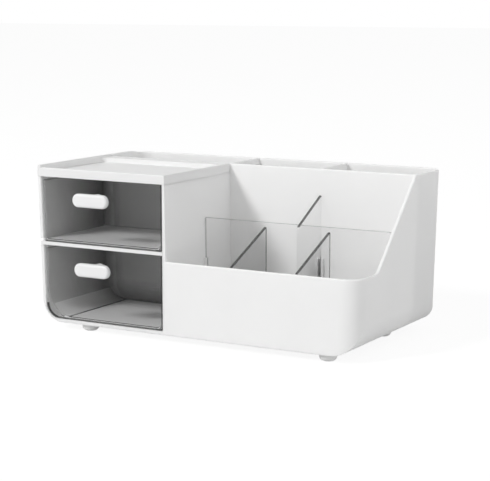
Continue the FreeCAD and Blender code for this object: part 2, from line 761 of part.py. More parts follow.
def handle_screw(name, low, high):
    """Pan-head screw from inside the drawer, through the plate into the stem."""
    body = new_body(name)
    across, up = handle_place(low, high)
    inside = size["front_recess"] + size["front_plate"]
    middle = (across, up)
    extrude(body, "Pad", "head", "XZ", inside, size["screw_head_height"],
            [{"at": middle, "diameter": size["screw_head"]}])
    round_rims(body, "soft_head", size["thin_round"], ALONG, [inside + size["screw_head_height"]])
    length = size["front_plate"] + size["screw_in"]
    shank = {"at": middle, "diameter": size["screw"]}
    extrude(body, "Pad", "shank", "XZ", inside - length, length, [shank])
    half = size["screw_slot"] / 2
    arm = size["screw_cross"] / 2
    face = inside + size["screw_head_height"]
    for turn, (wide, tall) in (("flat", (arm, half)), ("upright", (half, arm))):
        slot = rectangle(across - wide, across + wide, up - tall, up + tall)
        deep = size["screw_slot"]
        extrude(body, "Pocket", "cross_" + turn, "XZ", face - deep, deep, [slot])
    place(body)
    return body


# ---------------------------------------------------------------- clear dividers

def long_divider():
    """Clear plate across the bin, held at both ends between guide ribs."""
    body = new_body("long_divider")
    low = size["floor"] + size["divider_lift"]
    left = lambda height: partition_right(height) + size["divider_play"]
    right = lambda height: inner_x(height) - size["divider_play"]
    outline = leaning_outline(left, right, low, size["long_top"])
    low_left, low_right, high_right, high_left = outline
    rounded = [low_left, low_right + (size["bottom_cove"],), high_right + (size["divider_corner"],),
               high_left + (size["divider_corner"],)]
    extrude(body, "Pad", "plate", "XZ", size["long_at"] - size["divider"] / 2, size["divider"], [rounded])
    place(body)
    return body


def cross_divider(name, middle, near, far, near_height, far_height):
    """Clear cross plate with a sloping top, from near to far."""
    body = new_body(name)
    low = size["floor"] + size["divider_lift"]
    outline = [
        (near, low),
        (far, low),
        (far, far_height, size["divider_corner"]),
        (near, near_height, size["divider_corner"]),
    ]
    extrude(body, "Pad", "plate", "YZ", middle - size["divider"] / 2, size["divider"], [outline])
    place(body)
    return body


def cross_dividers():
    """Two plates in front of the long plate and one behind it."""
    front_near = size["wall"] + size["divider_play"]
    front_far = size["long_at"] - guide_gap
    rear_near = size["long_at"] + guide_gap
    rear_far = size["panel_front"] - size["divider_play"]
    return [
        cross_divider("front_left_divider", size["front_left_at"], front_near, front_far,
                      size["front_low"], size["front_high"]),
        cross_divider("front_right_divider", size["front_right_at"], front_near, front_far,
                      size["front_low"], size["front_high"]),
        cross_divider("rear_divider", size["rear_at"], rear_near, rear_far,
                      size["rear_low"], size["rear_high"]),
    ]


# ---------------------------------------------------------------- feet

def foot(name, across, back):
    """Domed foot, seated in a shallow round recess under the floor."""
    body = new_body(name)
    sketch = new_sketch(body, "dome_outline", "XZ", 0, [[
        (as_size(0), size["foot_seat"]),
        (as_size(0), -size["foot_height"]),
        (size["foot"] / 2, -size["foot_height"], size["foot_dome"]),
        (size["foot"] / 2, size["foot_seat"]),
    ]])
    dome = body.newObject("PartDesign::Revolution", "dome")
    dome.Profile = sketch
    dome.ReferenceAxis = (sketch, ["V_Axis"])
    dome.Angle = 360
    settle(body, dome, True)
    place(body, across, back)
    return body


# ---------------------------------------------------------------- the whole object

def build():
    """Every sub-part, in the order in which they go together."""
    upper = (shelf_top + size["drawer_lift"], tray_bottom - size["drawer_headroom"])
    lower = (size["floor"] + size["drawer_lift"], size["shelf_bottom"] - size["drawer_headroom"])
    big_corner = size["bay_round"] - size["drawer_gap"]
    parts = [main_body(), middle_shelf(), top_tray()]
    parts.append(drawer_front("upper_drawer_front", *upper, size["front_corner"]))
    parts.append(drawer_front("lower_drawer_front", *lower, big_corner))
    parts.append(drawer_tray("upper_drawer_tray", *upper, size["front_corner"], size["drawer_cove_small"]))
    parts.append(drawer_tray("lower_drawer_tray", *lower, size["drawer_cove_left"], size["drawer_cove_left"]))
    for level, heights in (("upper", upper), ("lower", lower)):
        parts.append(drawer_handle(level + "_handle", *heights))
        parts.append(handle_screw(level + "_handle_screw", *heights))
    parts.append(long_divider())
    parts.extend(cross_dividers())
    for name, across, back in foot_places():
        parts.append(foot(name, across, back))
    return parts


def check(parts):
    """Stops if anything in the document failed."""
    for thing in document.Objects:
        if "Invalid" in thing.State or "Error" in thing.State:
            raise RuntimeError("{} is {}".format(thing.Name, thing.State))
    for part in parts:
        shape = part.Shape
        if shape.isNull() or not shape.isValid() or len(shape.Solids) != 1:
            raise RuntimeError("{} has a bad shape".format(part.Label))


def export(parts):
    os.makedirs("parts", exist_ok=True)
    for part in parts:
        part.Shape.exportStep(os.path.join("parts", part.Label + ".step"))
        print("{:24s} {:10.1f} mm3".format(part.Label, part.Shape.Volume))


finished = build()
check(finished)
export(finished)
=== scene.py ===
# %% [markdown]
# # A white desk organizer with two smoked drawers
#
# The organizer is a moulded white body with a bin on the right, three narrow
# compartments along the back, and a cabinet on the left. The cabinet holds two
# smoked drawers under a shallow tray. Clear plates divide the bin.
#
# The solids come from a frame that is already the right size, in metres. Each
# piece here rides on one body of that frame, so it moves as the real one does.

# %% Load the frame
import json
import math
import bmesh
import bpy
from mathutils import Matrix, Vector


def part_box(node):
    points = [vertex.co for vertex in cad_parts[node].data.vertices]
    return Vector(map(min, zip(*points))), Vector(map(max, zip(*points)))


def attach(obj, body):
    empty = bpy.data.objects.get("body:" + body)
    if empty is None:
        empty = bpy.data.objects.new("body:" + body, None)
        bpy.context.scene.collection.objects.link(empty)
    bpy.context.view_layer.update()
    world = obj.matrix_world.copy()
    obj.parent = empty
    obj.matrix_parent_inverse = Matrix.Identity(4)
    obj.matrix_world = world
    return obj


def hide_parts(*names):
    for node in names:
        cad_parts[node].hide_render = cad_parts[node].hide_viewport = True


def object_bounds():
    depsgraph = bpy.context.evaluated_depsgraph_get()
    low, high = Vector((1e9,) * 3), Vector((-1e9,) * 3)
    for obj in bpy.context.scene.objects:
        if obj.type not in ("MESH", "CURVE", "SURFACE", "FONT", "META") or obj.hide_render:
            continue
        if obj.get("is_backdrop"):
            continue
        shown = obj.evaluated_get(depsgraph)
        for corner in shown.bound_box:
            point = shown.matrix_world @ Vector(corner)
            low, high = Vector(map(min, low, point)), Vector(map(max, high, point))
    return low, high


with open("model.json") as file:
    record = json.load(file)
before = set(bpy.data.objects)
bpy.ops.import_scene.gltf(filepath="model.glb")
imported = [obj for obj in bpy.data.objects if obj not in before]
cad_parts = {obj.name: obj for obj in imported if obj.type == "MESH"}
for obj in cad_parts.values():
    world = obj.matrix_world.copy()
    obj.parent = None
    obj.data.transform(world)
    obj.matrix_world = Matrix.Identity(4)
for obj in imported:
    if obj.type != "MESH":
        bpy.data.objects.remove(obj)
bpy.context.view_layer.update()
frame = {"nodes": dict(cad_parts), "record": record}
nodes = frame["nodes"]
record = frame["record"]
node_body = {name: body for body, names in record["behaviour"]["bodies"].items() for name in names}
node_slot = {name: thing.material_slots[0].material.name for name, thing in nodes.items()}

# %% [markdown]
# ## The camera
#
# A product picture of a desk organizer is taken from a little above, and from
# one side, so that the front, the right end and the inside of the bin all show.
# A long lens from 1.3 m away keeps the uprights nearly parallel.

# %% Camera
camera_place = Vector((0.63385, -1.10180, 0.27730))
camera_down = math.radians(9.012)
camera_turn = math.radians(29.592)
lens_mm = 112.93
sensor_mm = 36.0

camera_data = bpy.data.cameras.new("camera")
camera_data.lens = lens_mm
camera_data.sensor_width = sensor_mm
camera_data.sensor_fit = "HORIZONTAL"
camera_data.clip_end = 50.0
camera = bpy.data.objects.new("camera", camera_data)
camera.location = camera_place
camera.rotation_euler = (math.pi / 2 - camera_down, 0.0, camera_turn)
bpy.context.scene.collection.objects.link(camera)
bpy.context.scene.camera = camera
print("camera: %.2f m from the middle" % camera_place.length)

# %% [markdown]
# ## The light
#
# A pale studio fills from all round, more from the sides than from overhead.
# One soft box stands high on the left in front, and draws the slanting shadow
# on the back wall of the bin. A wide panel on the right lifts the side of the
# organizer, as a white card would. The soft box could be a sun, but a disc at a
# few metres has the soft edge of a studio light. A lamp's power follows from how
# far it stands, so that moving it doesn't change its level on the object.

# %% Soft box and side panel
key_way = Vector((-0.517, -1.0, 0.84)).normalized()
key_far = 4.0
key_wide = 0.8
key_level = 1.60
side_way = Vector((1.0, -0.12, 0.25)).normalized()
side_far = 3.0
side_wide = 2.2
side_level = 0.46


def add_lamp(name, way, far, wide, level):
    """A round soft light that lies that way from the object and faces it."""
    data = bpy.data.lights.new(name, "AREA")
    data.shape = "DISK"
    data.size = wide
    data.energy = level * math.pi * far ** 2
    lamp = bpy.data.objects.new(name, data)
    lamp.location = way * far
    lamp.rotation_euler = way.to_track_quat("Z", "Y").to_euler()
    bpy.context.scene.collection.objects.link(lamp)
    print("%s: %.0f W at %.1f m" % (name, data.energy, far))


add_lamp("soft_box", key_way, key_far, key_wide, key_level)
add_lamp("side_panel", side_way, side_far, side_wide, side_level)

# %% Pale studio
fill_low = 0.82
fill_high = 0.28

world = bpy.data.worlds.new("studio")
bpy.context.scene.world = world
world.use_nodes = True
tree = world.node_tree
tree.nodes.clear()


def any_ray(tree, *kinds):
    """1 for a ray of one of these kinds, else 0."""
    rays = tree.nodes.new("ShaderNodeLightPath")
    found = rays.outputs[kinds[0]]
    for kind in kinds[1:]:
        either = tree.nodes.new("ShaderNodeMath")
        either.operation = "MAXIMUM"
        tree.links.new(found, either.inputs[0])
        tree.links.new(rays.outputs[kind], either.inputs[1])
        found = either.outputs[0]
    return found


direction = tree.nodes.new("ShaderNodeSeparateXYZ")
tree.links.new(tree.nodes.new("ShaderNodeTexCoord").outputs["Generated"], direction.inputs[0])
rise = tree.nodes.new("ShaderNodeMapRange")
rise.inputs["To Min"].default_value = fill_low
rise.inputs["To Max"].default_value = fill_high
tree.links.new(direction.outputs["Z"], rise.inputs["Value"])
fill = tree.nodes.new("ShaderNodeBackground")
tree.links.new(rise.outputs["Result"], fill.inputs["Strength"])
backdrop = tree.nodes.new("ShaderNodeBackground")
backdrop.inputs["Strength"].default_value = 1.0
for background in (fill, backdrop):
    background.inputs["Color"].default_value = (1.0, 1.0, 1.0, 1.0)
pick = tree.nodes.new("ShaderNodeMixShader")
tree.links.new(any_ray(tree, "Is Camera Ray", "Is Glossy Ray", "Is Transmission Ray"), pick.inputs["Fac"])
tree.links.new(fill.outputs[0], pick.inputs[1])
tree.links.new(backdrop.outputs[0], pick.inputs[2])
world_out = tree.nodes.new("ShaderNodeOutputWorld")
tree.links.new(pick.outputs[0], world_out.inputs["Surface"])
bpy.context.scene.view_settings.view_transform = "Standard"
print("studio: fill %.2f at the sides, %.2f overhead" % (fill_low, fill_high))

# %% [markdown]
# ## The floor
#
# The organizer stands on white paper that runs out of sight. Paper that is only
# lit looks grey beside the object, so what the camera sees of it is part glow.
# The lit part still takes the object's shadow. What the paper throws back up at
# the object is its plain colour.

# %% Helper: a material with one Principled shader
def new_material(name):
    """A material with an output and a Principled shader, its tree and the shader."""
    material = bpy.data.materials.new(name)
    material.use_nodes = True
    tree = material.node_tree
    tree.nodes.clear()
    output = tree.nodes.new("ShaderNodeOutputMaterial")
    output.location = (400, 0)
    shader = tree.nodes.new("ShaderNodeBsdfPrincipled")
    shader.location = (100, 0)
    tree.links.new(shader.outputs["BSDF"], output.inputs["Surface"])
    return material, tree, shader


# %% Paper floor
floor_half = 12.0
paper_colour = (0.62, 0.62, 0.62, 1.0)
paper_lit = (0.15, 0.15, 0.15, 1.0)
paper_glow = 0.90

floor_mesh = bpy.data.meshes.new("floor")
floor_mesh.from_pydata([(-floor_half, -floor_half, 0.0), (floor_half, -floor_half, 0.0),
                        (floor_half, floor_half, 0.0), (-floor_half, floor_half, 0.0)], [], [(0, 1, 2, 3)])
floor = bpy.data.objects.new("floor", floor_mesh)
bpy.context.scene.collection.objects.link(floor)
floor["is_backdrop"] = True

paper, tree, shader = new_material("white_paper")
shader.inputs["Base Color"].default_value = paper_colour
shader.inputs["Roughness"].default_value = 0.9
shader.inputs["Specular IOR Level"].default_value = 0.0
lit = tree.nodes.new("ShaderNodeBsdfDiffuse")
lit.inputs["Color"].default_value = paper_lit
glow = tree.nodes.new("ShaderNodeEmission")
glow.inputs["Strength"].default_value = paper_glow
both = tree.nodes.new("ShaderNodeAddShader")
tree.links.new(lit.outputs[0], both.inputs[0])
tree.links.new(glow.outputs[0], both.inputs[1])
pick = tree.nodes.new("ShaderNodeMixShader")
tree.links.new(any_ray(tree, "Is Camera Ray", "Is Glossy Ray", "Is Transmission Ray"), pick.inputs["Fac"])
tree.links.new(shader.outputs["BSDF"], pick.inputs[1])
tree.links.new(both.outputs[0], pick.inputs[2])
output = next(node for node in tree.nodes if node.type == "OUTPUT_MATERIAL")
tree.links.new(pick.outputs[0], output.inputs["Surface"])
floor_mesh.materials.append(paper)
print("floor: %.0f m square" % (2 * floor_half))

# %% [markdown]
# ## Shared effects
#
# Moulded plastic is never one flat colour. It has a fine spark-eroded grain
# from the mould, a faint mottle where the melt cooled unevenly, and a roughness
# that varies a little. Clear and smoked plastic has fine scratches instead.
# Each effect could be drawn again in every material. A node group is built once
# and gets its own values in each.

# %% Helper: a group with named sockets
def new_group(name, inputs, outputs):
    """A shader node group with named sockets, and its input and output nodes."""
    group = bpy.data.node_groups.new(name, "ShaderNodeTree")
    for label, kind, value in inputs:
        socket = group.interface.new_socket(label, in_out="INPUT", socket_type="NodeSocket" + kind)
        socket.default_value = value
    for label, kind in outputs:
        group.interface.new_socket(label, in_out="OUTPUT", socket_type="NodeSocket" + kind)
    return group, group.nodes.new("NodeGroupInput"), group.nodes.new("NodeGroupOutput")


def feed(tree, socket, value):
    """Links a socket to another one, or sets it to a plain value."""
    if isinstance(value, bpy.types.NodeSocket):
        tree.links.new(value, socket)
    else:
        socket.default_value = value


def maths(tree, operation, *values):
    """The result of one Math node."""
    node = tree.nodes.new("ShaderNodeMath")
    node.operation = operation
    for socket, value in zip(node.inputs, values):
        feed(tree, socket, value)
    return node.outputs[0]


def mapped(tree, value, low, high, new_low, new_high):
    """A value moved from one range into another, and kept in it."""
    node = tree.nodes.new("ShaderNodeMapRange")
    for label, number in (("Value", value), ("From Min", low), ("From Max", high),
                          ("To Min", new_low), ("To Max", new_high)):
        feed(tree, node.inputs[label], number)
    return node.outputs["Result"]


def noise_of(tree, place, scale, detail=2.0, rough=0.5):
    """A noise value at a place."""
    node = tree.nodes.new("ShaderNodeTexNoise")
    feed(tree, node.inputs["Vector"], place)
    feed(tree, node.inputs["Scale"], scale)
    node.inputs["Detail"].default_value = detail
    node.inputs["Roughness"].default_value = rough
    return node.outputs["Fac"]


def tinted(tree, colour, value):
    """A colour made lighter or darker by a value."""
    node = tree.nodes.new("ShaderNodeVectorMath")
    node.operation = "SCALE"
    feed(tree, node.inputs[0], colour)
    feed(tree, node.inputs["Scale"], value)
    return node.outputs[0]


# %% [markdown]
# ### Moulded grain
#
# The grain gives a colour with a faint mottle, a roughness that follows it, and
# a fine height for a bump. An image of a grain would show its pixels close up;
# noise doesn't.

# %% Moulded grain
grain_group, given, gives = new_group(
    "moulded_grain",
    [("Colour", "Color", (0.8, 0.8, 0.8, 1.0)), ("Mottle", "Float", 0.02), ("Mottle Size", "Float", 0.03),
     ("Grain Size", "Float", 0.0006), ("Roughness", "Float", 0.4), ("Roughness Spread", "Float", 0.06)],
    [("Colour", "Color"), ("Roughness", "Float"), ("Height", "Float")])
place = grain_group.nodes.new("ShaderNodeTexCoord").outputs["Object"]
mottle_scale = maths(grain_group, "DIVIDE", 1.0, given.outputs["Mottle Size"])
grain_scale = maths(grain_group, "DIVIDE", 1.0, given.outputs["Grain Size"])
mottle = noise_of(grain_group, place, mottle_scale, detail=3.0)
grain = noise_of(grain_group, place, grain_scale, detail=1.0)
around = maths(grain_group, "MULTIPLY", maths(grain_group, "SUBTRACT", mottle, 0.5), 2.0)
shade = maths(grain_group, "MULTIPLY_ADD", around, given.outputs["Mottle"], 1.0)
grain_group.links.new(tinted(grain_group, given.outputs["Colour"], shade), gives.inputs["Colour"])
rough = maths(grain_group, "MULTIPLY_ADD", around, given.outputs["Roughness Spread"],
              given.outputs["Roughness"])
grain_group.links.new(rough, gives.inputs["Roughness"])
grain_group.links.new(grain, gives.inputs["Height"])
print("group:", grain_group.name)

# %% [markdown]
# ### Fine scratches
#
# Clear plastic picks up hairlines from cloths and pencils. Noise that is
# stretched a lot along one way and cut off high leaves thin lines; two ways of
# them look like years of wiping.

# %% Fine scratches
low_cut = 0.66
high_cut = 0.74
scratch_rough = 0.25
wiped_ways = (((0.2, 0.9, 0.5), (1.0, 14.0, 14.0)), ((0.7, 0.3, 1.1), (16.0, 1.0, 16.0)))

scratch_group, given, gives = new_group(
    "fine_scratches",
    [("Size", "Float", 0.02), ("Amount", "Float", 0.3), ("Roughness", "Float", 0.1)],
    [("Roughness", "Float"), ("Height", "Float"), ("Mask", "Float")])
place = scratch_group.nodes.new("ShaderNodeTexCoord").outputs["Object"]
scale = maths(scratch_group, "DIVIDE", 1.0, given.outputs["Size"])
lines = None
for turn, stretch in wiped_ways:
    turned = scratch_group.nodes.new("ShaderNodeMapping")
    turned.inputs["Rotation"].default_value = turn
    turned.inputs["Scale"].default_value = stretch
    scratch_group.links.new(place, turned.inputs["Vector"])
    one_way = noise_of(scratch_group, turned.outputs[0], scale, detail=4.0, rough=0.7)
    thin = mapped(scratch_group, one_way, low_cut, high_cut, 0.0, 1.0)
    lines = thin if lines is None else maths(scratch_group, "MAXIMUM", lines, thin)
mask = maths(scratch_group, "MULTIPLY", lines, given.outputs["Amount"])
scratch_group.links.new(mask, gives.inputs["Mask"])
scratch_group.links.new(mask, gives.inputs["Height"])
rough = maths(scratch_group, "MULTIPLY_ADD", mask, scratch_rough, given.outputs["Roughness"])
scratch_group.links.new(rough, gives.inputs["Roughness"])
print("group:", scratch_group.name)

# %% [markdown]
# ### Settled dust
#
# Dust lies on what faces up, in patches. The mask comes from the upward share
# of the normal, and a soft noise breaks it up.

# %% Settled dust
patch_scale = 45.0
thin_patch = 0.35
thick_patch = 0.75
too_steep = 0.5

dust_group, given, gives = new_group(
    "settled_dust",
    [("Colour", "Color", (0.8, 0.8, 0.8, 1.0)), ("Dust", "Color", (0.6, 0.59, 0.57, 1.0)),
     ("Amount", "Float", 0.1)],
    [("Colour", "Color"), ("Mask", "Float")])
place = dust_group.nodes.new("ShaderNodeTexCoord").outputs["Object"]
facing = dust_group.nodes.new("ShaderNodeSeparateXYZ")
dust_group.links.new(dust_group.nodes.new("ShaderNodeNewGeometry").outputs["Normal"], facing.inputs[0])
upward = mapped(dust_group, facing.outputs["Z"], too_steep, 1.0, 0.0, 1.0)
cloudy = noise_of(dust_group, place, patch_scale, detail=5.0, rough=0.65)
patches = mapped(dust_group, cloudy, thin_patch, thick_patch, 0.0, 1.0)
settled = maths(dust_group, "MULTIPLY", upward, patches)
mask = maths(dust_group, "MULTIPLY", settled, given.outputs["Amount"])
blend = dust_group.nodes.new("ShaderNodeMix")
blend.data_type = "RGBA"
dust_group.links.new(mask, blend.inputs["Factor"])
dust_group.links.new(given.outputs["Colour"], blend.inputs["A"])
dust_group.links.new(given.outputs["Dust"], blend.inputs["B"])
dust_group.links.new(blend.outputs["Result"], gives.inputs["Colour"])
dust_group.links.new(mask, gives.inputs["Mask"])
print("group:", dust_group.name)

# %% [markdown]
# ### Deep corner
#
# The rear left corner of a smoked drawer is its darkest place: light has to
# pass the most plastic to get there and out again. Tracing that through thin
# clear walls is slow and noisy, so that shade is painted: the mask darkens the
# colour and raises the alpha. The mask is 1 in the corner, and it fades to the
# front over Deep and to the side over Wide. It follows a cove of radius Round
# between the side and the floor.

# %% Deep corner
fade_power = 1.5

corner_group, given, gives = new_group(
    "painted_corner_shade",
    [("Corner", "Vector", (0.0, 0.0, 0.0)), ("Round", "Float", 0.01), ("Deep", "Float", 0.08),
     ("Wide", "Float", 0.02)],
    [("Mask", "Float")])
place = corner_group.nodes.new("ShaderNodeSeparateXYZ")
corner_group.links.new(corner_group.nodes.new("ShaderNodeTexCoord").outputs["Object"], place.inputs[0])
corner = corner_group.nodes.new("ShaderNodeSeparateXYZ")
corner_group.links.new(given.outputs["Corner"], corner.inputs[0])
short = {}
for axis in ("X", "Z"):
    inner = maths(corner_group, "ADD", corner.outputs[axis], given.outputs["Round"])
    left = maths(corner_group, "MAXIMUM", maths(corner_group, "SUBTRACT", inner, place.outputs[axis]), 0.0)
    short[axis] = maths(corner_group, "MULTIPLY", left, left)
reach = maths(corner_group, "SQRT", maths(corner_group, "ADD", short["X"], short["Z"]))
gap = maths(corner_group, "SUBTRACT", given.outputs["Round"], reach)
beside = mapped(corner_group, gap, 0.0, given.outputs["Wide"], 1.0, 0.0)
back = maths(corner_group, "SUBTRACT", corner.outputs["Y"], place.outputs["Y"])
behind = maths(corner_group, "POWER", mapped(corner_group, back, 0.0, given.outputs["Deep"], 1.0, 0.0),
               fade_power)
corner_group.links.new(maths(corner_group, "MULTIPLY", beside, behind), gives.inputs["Mask"])
print("group:", corner_group.name)

# %% [markdown]
# ## The plastics
#
# The body, the tray and the shelf are white plastic with a satin mould finish,
# and light goes a little way into it. The tray and the shelf get a darker copy
# of that white, as painted shade. The pulls are the same white, but polished.
# The drawers and the plates are clear plastic, one smoked and one plain. Real
# glass shading would bend the light, but it darkens what stands behind it. An
# alpha below 1 lets the light and the shadows through, which is what such thin
# plastic does.

# %% Helpers: groups and bumps in a material
def add_group(tree, group, **values):
    """One of the shared groups, with its own values."""
    node = tree.nodes.new("ShaderNodeGroup")
    node.node_tree = group
    for label, value in values.items():
        feed(tree, node.inputs[label.replace("_", " ")], value)
    return node


def add_bump(tree, shader, height, deep):
    """A bump of that depth in metres on the shader."""
    bump = tree.nodes.new("ShaderNodeBump")
    bump.inputs["Strength"].default_value = 1.0
    bump.inputs["Distance"].default_value = deep
    tree.links.new(height, bump.inputs["Height"])
    tree.links.new(bump.outputs["Normal"], shader.inputs["Normal"])


# %% Helper: solid plastic
thin_dust = 0.05
soft_depth = 0.0025


def solid_plastic(name, colour, rough, mottle=0.015, grain_size=0.0006, grain_deep=0.00001, soft=0.0):
    """Moulded plastic; soft is the share of light that enters it a little way and comes out again."""
    material, tree, shader = new_material(name)
    grain = add_group(tree, grain_group, Colour=(*colour, 1.0), Mottle=mottle, Grain_Size=grain_size,
                      Roughness=rough)
    dusty = add_group(tree, dust_group, Colour=grain.outputs["Colour"], Amount=thin_dust)
    tree.links.new(dusty.outputs["Colour"], shader.inputs["Base Color"])
    tree.links.new(grain.outputs["Roughness"], shader.inputs["Roughness"])
    shader.inputs["Subsurface Weight"].default_value = soft
    shader.inputs["Subsurface Radius"].default_value = (1.0, 1.0, 1.0)
    shader.inputs["Subsurface Scale"].default_value = soft_depth
    add_bump(tree, shader, grain.outputs["Height"], grain_deep)
    print("plastic:", name)
    return material


# %% Helper: clear plastic
# How far the corner mask darkens the colour: painted shade in a drawer's rear left corner.
corner_painted_shade = 0.85
corner_alpha = 0.40
scratch_alpha = 0.06
scratch_deep = 0.000003


def clear_plastic(name, colour, alpha, rough, scratches=0.3, dust=thin_dust, let_by=0.0, corner=None,
                  corner_round=0.0):
    """Clear or smoked plastic: alpha is the share of light that it stops, less let_by for a lamp's light.

    With a corner, painted shade darkens it near there, and it stops more light there.
    """
    material, tree, shader = new_material(name)
    marks = add_group(tree, scratch_group, Amount=scratches, Roughness=rough)
    grain = add_group(tree, grain_group, Colour=(*colour, 1.0), Mottle=0.04, Mottle_Size=0.05)
    dusty = add_group(tree, dust_group, Colour=grain.outputs["Colour"], Amount=dust)
    tree.links.new(marks.outputs["Roughness"], shader.inputs["Roughness"])
    seen = maths(tree, "MULTIPLY_ADD", marks.outputs["Mask"], scratch_alpha, alpha)
    seen = maths(tree, "MAXIMUM", seen, dusty.outputs["Mask"])
    base = dusty.outputs["Colour"]
    if corner is not None:
        # Painted shade: the colour darkens towards the corner.
        dark = add_group(tree, corner_group, Corner=corner, Round=corner_round).outputs["Mask"]
        base = tinted(tree, base, maths(tree, "MULTIPLY_ADD", dark, -corner_painted_shade, 1.0))
        seen = maths(tree, "MULTIPLY_ADD", dark, corner_alpha, seen)
    tree.links.new(base, shader.inputs["Base Color"])
    passed = maths(tree, "SUBTRACT", 1.0, maths(tree, "MULTIPLY", any_ray(tree, "Is Shadow Ray"), let_by))
    tree.links.new(maths(tree, "MULTIPLY", seen, passed), shader.inputs["Alpha"])
    add_bump(tree, shader, marks.outputs["Height"], scratch_deep)
    print("plastic:", name)
    return material


# %% The white plastics
white_plastic = solid_plastic("white_plastic", (0.905, 0.905, 0.902), rough=0.45, soft=1.0)
# Painted shade: a darker copy of the same white, which tones down the tray's up-facing top.
shaded_white_plastic = solid_plastic("white_painted_shade", (0.85, 0.85, 0.848), rough=0.45)
pull_plastic = solid_plastic("polished_white", (0.88, 0.88, 0.88), rough=0.25, grain_deep=0.000002,
                             soft=0.5)

slot_plastic = {"body": white_plastic, "tray": shaded_white_plastic, "shelf": shaded_white_plastic, "handle": pull_plastic}
for name, thing in nodes.items():
    if node_slot[name] in slot_plastic:
        thing.material_slots[0].material = slot_plastic[node_slot[name]]
        print("%s: %s" % (name, slot_plastic[node_slot[name]].name))

# %% [markdown]
# ## Clear pieces and their edges
#
# A clear plate looks dark along its cut edges, because light that enters the
# edge never comes out at the face. Alpha doesn't bend light, so that dark line
# is painted shade. The solids already have the right shape. A merged copy of
# each one gets a narrow band round its flat faces, and the band and the edges
# get the painted dark edge material. A painted line in the material would do
# as well from one side, but a band of real faces stays as narrow everywhere.

# %% Helper: a merged copy of a solid
merge_reach = 0.000002


def merged_copy(node, name):
    """A new piece with the solid's shape, its corners merged."""
    work = bmesh.new()
    work.from_mesh(nodes[node].data)
    bmesh.ops.remove_doubles(work, verts=work.verts, dist=merge_reach)
    mesh = bpy.data.meshes.new(name)
    work.to_mesh(mesh)
    work.free()
    piece = bpy.data.objects.new(name, mesh)
    bpy.context.scene.collection.objects.link(piece)
    return piece


# %% Helper: hand a piece over
sharp_from = math.radians(30.0)


def finish_piece(piece, body, replaced):
    """Smooth shading up to an angle, normals weighted by area; the piece rides on its body and the solids
    it stands for are hidden.
    """
    mesh = piece.data
    mesh.polygons.foreach_set("use_smooth", [True] * len(mesh.polygons))
    mesh.set_sharp_from_angle(angle=sharp_from)
    weigh = piece.modifiers.new("weigh", "WEIGHTED_NORMAL")
    weigh.keep_sharp = True
    weighed = bpy.data.meshes.new_from_object(piece.evaluated_get(bpy.context.evaluated_depsgraph_get()))
    piece.modifiers.clear()
    piece.data = weighed
    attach(piece, body)
    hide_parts(*replaced)
    print("%s: %d faces" % (piece.name, len(weighed.polygons)))


# %% Helper: a copy with bands
flat_from = 0.9990


def banded_copy(node, name, materials, bands, pick, cuts=()):
    """A merged copy whose flat faces get narrow bands along their edges.

    Each band is (axis, side, thickness): the flat faces that look that way are inset by the thickness.
    Each cut is (axis, place), and a band can change there. pick gives the number of the material for a
    face, from its middle, its normal and whether it is what the bands leave of a flat face.
    """
    piece = merged_copy(node, name)
    for material in materials:
        piece.data.materials.append(material)
    work = bmesh.new()
    work.from_mesh(piece.data)
    work.normal_update()
    left_over = work.faces.layers.int.new("left_over")
    flats = {(axis, side): [face for face in work.faces if face.normal[axis] * side > flat_from]
             for axis, side, thickness in bands}
    for axis, side, thickness in bands:
        bmesh.ops.inset_region(work, faces=flats[axis, side], thickness=thickness, use_boundary=True)
    for flat in flats.values():
        for face in flat:
            face[left_over] = 1
    for axis, where in cuts:
        across = Vector((axis == 0, axis == 1, axis == 2))
        bmesh.ops.bisect_plane(work, geom=work.verts[:] + work.edges[:] + work.faces[:],
                               plane_co=across * where, plane_no=across)
    for face in work.faces:
        face.material_index = pick(face.calc_center_median(), face.normal, face[left_over] == 1)
    work.faces.layers.int.remove(left_over)
    work.to_mesh(piece.data)
    work.free()
    finish_piece(piece, node_body[node], [node])


# %% [markdown]
# ### Drawer fronts
#
# Each drawer has a front plate of clear plastic, and the drawer behind it is
# what looks dark. The plate shows its thickness as a dark line along the
# bottom and up the right side, painted as shade in the edge material. The
# lower plate also shows it round its big corner, which follows the round of
# the body.

# %% Drawer fronts
front_bands = [(1, -1, 0.0009), (1, -1, 0.0006), (1, 1, 0.0009)]
right_line = 0.0014
bottom_line = 0.0006
corner_reach = 0.0125

smoked_front = clear_plastic("smoked_front", (0.10, 0.10, 0.10), alpha=0.04, rough=0.08)
# Painted shade: the dark lines along the smoked pieces' edges and creases.
smoked_edge_shade = clear_plastic("smoked_edge_shade", (0.02, 0.02, 0.02), alpha=0.70, rough=0.2, scratches=0.1,
                            dust=0.0)

for node, rounded in (("upper_drawer_front", False), ("lower_drawer_front", True)):
    low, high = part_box(node)

    def front_face(centre, normal, middle, low=low, high=high, rounded=rounded):
        """Painted dark edge at the right, along the bottom and round the big corner; clear at the left and
        the top.
        """
        if middle:
            return 0
        at_right = centre.x > high.x - right_line
        at_bottom = centre.z < low.z + bottom_line
        in_corner = rounded and centre.x < low.x + corner_reach and centre.z < low.z + corner_reach
        return 1 if at_right or at_bottom or in_corner else 0

    banded_copy(node, node + "_plate", [smoked_front, smoked_edge_shade], front_bands, front_face)

# %% [markdown]
# ### Clear plates
#
# One long plate crosses the bin, and three short ones with a slanting top
# divide it further. Their edges are painted shade, and not all alike: the
# slants catch the least light and are painted nearly black, and the long
# plate's top is a faint painted line. The ends of the long plate and of the
# rear plate are painted dark only low down, as shade between the ribs.

# %% Clear plates
# Below this height the plates' end edges get painted shade, as between the ribs.
dark_below = 0.0610
near_band = 0.0005
far_band = 0.0010
dark_edge = 0.0012
top_line = 0.0008
slant_line = 0.0009
upright_line = 0.0016
front_fall = 0.0258
rear_fall = 0.0218
facing_from = 0.9

